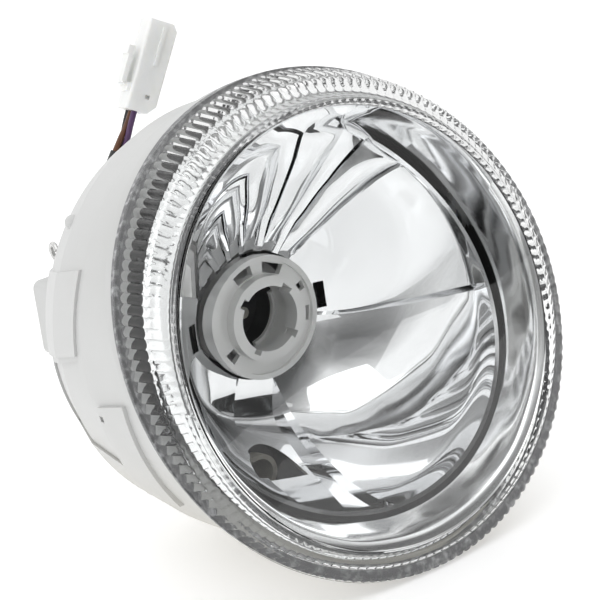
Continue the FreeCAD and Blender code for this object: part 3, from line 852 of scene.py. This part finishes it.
@dataclass
class RibbedLens:
    """Clear lens: domed face, bead, smooth band, two belts of flutes and a rear flange."""

    flutes: int = 148
    per_flute: int = 6
    flute_height: float = 0.80
    bead_height: float = 0.75
    face: tuple[tuple[float, float], ...] = (
        (-0.50, 0.6), (-0.49, 14.0), (-0.46, 28.0), (-0.34, 47.0), (-0.14, 60.0), (-0.03, 64.9))
    inside: tuple[tuple[float, float], ...] = (
        (1.01, 73.5), (0.70, 72.6), (0.42, 70.4), (0.15, 65.4), (0.04, 59.0), (-0.14, 46.0), (-0.26, 27.5),
        (-0.30, 12.0), (-0.305, 0.6))

    def flute(self, phase: float) -> float:
        """Return the height share of a flute at a place across one pitch, 0 to 1."""
        return max(0.0, math.cos(math.pi * (phase - 0.5))) ** 0.7

    def outer_rows(self) -> list[tuple[float, float, float]]:
        """Return step, radius and flute height for each row from the face's middle to the rear.

        Returns:
            The rows, with radius and height in mm.
        """
        rows = [(s, r, 0.0) for s, r in smooth_through(self.face, 15)]
        for k in range(7):
            turn = math.pi * k / 6
            radius = 66.45 - 1.35 * math.cos(turn) + 0.2 * math.sin(turn)
            rows.append((0.012 - 0.055 * math.sin(turn), radius, 0.0))
        rows += [(0.055, 68.3, 0.0), (0.075, 69.0, 0.0)]
        for k in range(7):
            t = k / 6
            rise = min(1.0, 3.0 * math.sin(math.pi * min(t, 0.5)) + 0.02)
            rows.append((0.083 + 0.135 * t, 69.15 + 3.3 * t, self.flute_height * rise))
        rows += [(0.235, 73.0, 0.30), (0.25, 73.3, 0.10), (0.275, 73.45, 0.10)]
        for k in range(9):
            t = k / 8
            rise = min(1.0, 2.6 * math.sin(math.pi * t) + 0.15)
            rows.append((0.30 + 0.60 * t, 73.55 + 2.35 * t, self.flute_height * rise))
        rows += [(0.925, 76.1, 0.05), (0.935, 76.5, 0.0), (0.945, 77.0, 0.0), (0.995, 77.0, 0.0),
                 (1.0, 76.9, 0.0)]
        return rows

    def build(self) -> None:
        """Build the lens as one closed skin."""
        count = self.flutes * self.per_flute
        turns = [math.tau * k / count for k in range(count)]
        lift = [self.flute((k % self.per_flute) / self.per_flute) for k in range(count)]
        rows: Rows = []
        for step, radius, height in self.outer_rows():
            rows.append([RINGS.at(step, radius + height * up, turn) for turn, up in zip(turns, lift)])
        for step, radius in smooth_through(self.inside, 20):
            rows.append([RINGS.at(step, radius, turn) for turn in turns])
        lens = put("clear_lens", sheet_of_rows("clear_lens", rows, crease=50.0), Coat.LENS)
        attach(lens, "housing")
        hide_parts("lens")


# Bezel and reflector --------------------------------------------------------------------------


@dataclass
class ChromedBezel:
    """Bright ring behind the bead, gently wavy, with a skirt that flares behind the front flutes."""

    segments: int = 360
    inside: tuple[tuple[float, float], ...] = (
        (0.10, 65.7), (0.16, 64.7), (0.30, 63.1), (0.60, 62.4), (1.0, 62.1), (1.45, 62.0), (1.80, 62.1))
    outside: tuple[tuple[float, float], ...] = (
        (1.84, 62.8), (1.84, 67.6), (1.70, 67.6), (1.66, 65.9), (1.0, 65.5), (0.40, 65.8), (0.72, 69.2),
        (0.69, 69.5), (0.50, 68.2), (0.24, 65.9), (0.12, 65.9))

    def wave(self, step: float, turn: float) -> float:
        """Return the ring's small waviness in mm.

        Args:
            step: Place along the flank.
            turn: Direction in radians.

        Returns:
            The change of radius in mm.
        """
        fade = math.sin(math.pi * min(max(step / 1.9, 0), 1))
        return (0.10 * math.sin(5 * turn + 2.1 * step) + 0.07 * math.sin(11 * turn - 3.0 * step + 1.0)
                + 0.05 * math.sin(17 * turn + 5.0 * step + 2.0)) * fade

    def build(self) -> None:
        """Build the ring as one closed skin."""
        turns = [math.tau * k / self.segments for k in range(self.segments)]
        rows: Rows = []
        for step, radius in smooth_through(self.inside, 18):
            rows.append([RINGS.at(step, radius + self.wave(step, t), t) for t in turns])
        for step, radius in self.outside:
            rows.append([RINGS.at(step, radius, t) for t in turns])
        ring = put("chromed_bezel", sheet_of_rows("chromed_bezel", rows, loop=True), Coat.BEZEL)
        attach(ring, "housing")
        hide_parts("inner_bezel")


@dataclass(frozen=True)
class Facet:
    """One field of the reflector, with its edges' directions in degrees from +X towards up.

    seat and rim hold the start and end directions near the seat and at the rim.  The other
    numbers are depths in mm: sink is the step behind the plain skin, bow the extra depth in
    the middle and lean the rise of depth from start to end.
    """

    seat: tuple[float, float]
    rim: tuple[float, float]
    sink: float = 0.0
    bow: float = 0.0
    lean: float = 0.0

    def turn(self, across: float, out: float) -> float:
        """Return the direction at a place across the field and out from the seat.

        Args:
            across: Place across the field, 0 to 1.
            out: Place from the seat to the rim, 0 to 1.

        Returns:
            The direction in degrees.
        """
        inner = self.seat[0] + (self.seat[1] - self.seat[0]) * across
        outer = self.rim[0] + (self.rim[1] - self.rim[0]) * across
        return inner + (outer - inner) * out

    def depth(self, across: float, out: float) -> float:
        """Return how far behind the plain skin the field lies.

        Args:
            across: Place across the field, 0 to 1.
            out: Place from the seat to the rim, 0 to 1.

        Returns:
            The depth in mm.
        """
        fade = min(1.0, out * 6.0) * min(1.0, (1.0 - out) * 8.0)
        return fade * (self.sink + self.bow * 4 * across * (1 - across) + self.lean * (across - 0.5))


@dataclass
class FreeFormReflector:
    """Metallised bowl of stepped fields round the bulb seat."""

    centre_z: float = -5.0
    slot_x: float = 22.8
    slot_half: tuple[float, float] = (1.6, 4.2)
    lip: float = 1.4
    back: float = 5.2
    edge: float = 1.6
    crease: float = 24.0
    lamp: tuple[float, float] = (-15.5, -49.0)
    lamp_radius: float = 9.0
    stations: tuple[tuple[float, ...], ...] = (
        (-44.2, -5.0, 0.0, 19.6), (-45.8, -5.0, 0.0, 23.0), (-48.1, -5.0, 0.3, 27.0),
        (-57.0, -3.4, 4.5, 39.4), (-67.4, -1.2, 11.5, 50.2), (-75.0, -0.1, 19.5, 56.4), (-78.9, 0.1, 26.2, 59.0))
    fields: tuple[Facet, ...] = (
        Facet((-14.0, 43.0), (-7.5, 33.0), 1.5, -0.4), Facet((43.0, 57.0), (33.0, 46.0), 2.0, -2.2),
        Facet((57.0, 64.0), (46.0, 55.0), 3.4, 0.8), Facet((64.0, 75.0), (55.0, 68.0), 0.9, -1.1),
        Facet((75.0, 83.0), (68.0, 77.0), 2.4, 0.9), Facet((83.0, 93.0), (77.0, 90.0), 0.6, -0.8),
        Facet((93.0, 98.0), (90.0, 96.0), 2.2, 0.6), Facet((98.0, 106.0), (96.0, 105.0), 0.5, -0.8),
        Facet((106.0, 111.0), (105.0, 111.0), 2.2, 0.6), Facet((111.0, 119.0), (111.0, 120.0), 0.5, -0.8),
        Facet((119.0, 124.0), (120.0, 126.0), 2.0, 0.6), Facet((124.0, 133.0), (126.0, 136.0), 0.5, -0.8),
        Facet((133.0, 139.0), (136.0, 143.0), 1.9, 0.5), Facet((139.0, 150.0), (143.0, 154.0), 0.5, -0.6),
        Facet((150.0, 192.0), (154.0, 196.0), 1.4, 0.5), Facet((192.0, 238.0), (196.0, 251.0), 3.4, 0.7),
        Facet((238.0, 275.0), (251.0, 265.0), 4.3, -0.5), Facet((275.0, 343.6), (265.0, 350.9), 0.1, 0.3),
        Facet((343.6, 346.0), (350.9, 352.5), 0.8, 0.0, 1.4))

    def spot(self, row: Sequence[float], turn: float, sink: float) -> Vector:
        """Return a point of the bowl.

        Args:
            row: Distance along the axis, height of the centre, rake in degrees and radius.
            turn: Direction in degrees.
            sink: How far behind the bowl's plain skin, in mm.

        Returns:
            The point in metres.
        """
        y, z, rake, radius = row
        tilt, angle = math.radians(rake), math.radians(turn)
        up = Vector((0.0, math.sin(tilt), math.cos(tilt)))
        reach = radius + sink * 0.8
        flat = Vector((math.cos(angle), 0.0, 0.0)) * reach + up * math.sin(angle) * reach
        return (Vector((0.0, y + sink * 0.6, z)) + flat) * MM

    def columns(self) -> list[tuple[Facet, float]]:
        """Return the field and the place across it for each column of points.

        Returns:
            A field and a place from 0 to 1 for each column.
        """
        made = []
        for f in self.fields:
            count = max(4, round((f.seat[1] - f.seat[0]) / 1.5))
            made += [(f, 0.004 + 0.992 * k / count) for k in range(count + 1)]
        return made

    def build(self) -> None:
        """Build the bowl with its openings."""
        table = smooth_through(self.stations, 44)
        columns = self.columns()
        rows: Rows = []
        for k, row in enumerate(table):
            out = k / (len(table) - 1)
            rows.append([self.spot(row, f.turn(across, out), f.depth(across, out))
                         for f, across in columns])
        rim = list(table[-1])
        rim[3] += self.lip
        rows.append([self.spot(rim, f.turn(across, 1.0), 0.0) for f, across in columns])
        for k in range(len(table) - 1, -1, -6):
            sink, out = self.back if 0 < k < len(table) - 1 else self.edge, k / (len(table) - 1)
            rows.append([self.spot(table[k], f.turn(across, out), sink) for f, across in columns])
        skin = sheet_of_rows("free_form_reflector", rows, loop=True, crease=self.crease)
        bowl = put("free_form_reflector", skin, Coat.REFLECTOR)
        carve(bowl, self.cutters(), self.crease)
        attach(bowl, "reflector_unit")
        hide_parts("reflector")

    def cutters(self) -> list[bpy.types.Object]:
        """Return the solids of the slots and the position-lamp opening.

        Returns:
            The cutter objects.
        """
        made = []
        for side in (-1, 1):
            wide, tall = self.slot_half
            low = Vector((side * self.slot_x - wide, -56.0, self.centre_z - tall)) * MM
            high = Vector((side * self.slot_x + wide, -36.0, self.centre_z + tall)) * MM
            made.append(put("slot_cutter", box_mesh("slot_cutter", low, high), Coat.REFLECTOR))
        x, z = self.lamp
        rows = rod_rows(Vector((x, -67, z)) * MM, Vector((x, -30, z)) * MM, self.lamp_radius * MM)
        made.append(put("lamp_cutter", sheet_of_rows("lamp_cutter", rows), Coat.REFLECTOR))
        return made


# CAD nodes -------------------------------------------------------------------------------------


class NodeDress:
    """Finishes of the nodes that are shown as they come from the frame."""

    COATS = {
        "lens_seal": Coat.SEAL, "rear_housing": Coat.HOUSING, "fixing_inserts": Coat.BRASS,
        "access_cover": Coat.HOUSING_CAP, "access_seal": Coat.RUBBER, "spring_hooks": Coat.STEEL,
        "breather_cap": Coat.RUBBER, "bulb_seat": Coat.SEAT, "bulb_retainer": Coat.SEAT,
        "bulb_socket": Coat.GREY_RUBBER, "bulb_contacts": Coat.TIN, "position_lamp_holder": Coat.HOLDER,
        "position_lamp_grommet": Coat.GREY_RUBBER, "pivot_studs": Coat.STEEL, "pivot_sockets": Coat.NYLON,
        "aim_nut": Coat.NYLON, "aim_screw": Coat.STEEL, "aim_knob": Coat.NYLON, "lead_grommet": Coat.RUBBER,
        "connector_body": Coat.NYLON, "connector_latch": Coat.NYLON, "connector_terminals": Coat.TIN,
    }

    def dress(self) -> None:
        """Give every shown node its finish."""
        for name, coat in self.COATS.items():
            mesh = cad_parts[name].data
            mesh.materials.clear()
            mesh.materials.append(coat.value.make())
            LOG.info("dressed %s as %s", name, coat.value.name)


def main() -> None:
    """Build the camera and the lead first, then each sub-assembly and the stage."""
    logging.basicConfig(level=logging.INFO)
    studio = Studio()
    studio.camera()
    Lead().build()
    for part in (RibbedLens(), ChromedBezel(), FreeFormReflector()):
        part.build()
        LOG.info("built %s", type(part).__name__)
    NodeDress().dress()
    studio.lights()
    studio.surroundings()
    studio.floor()
    studio.colour()


if __name__ == "__main__":
    main()
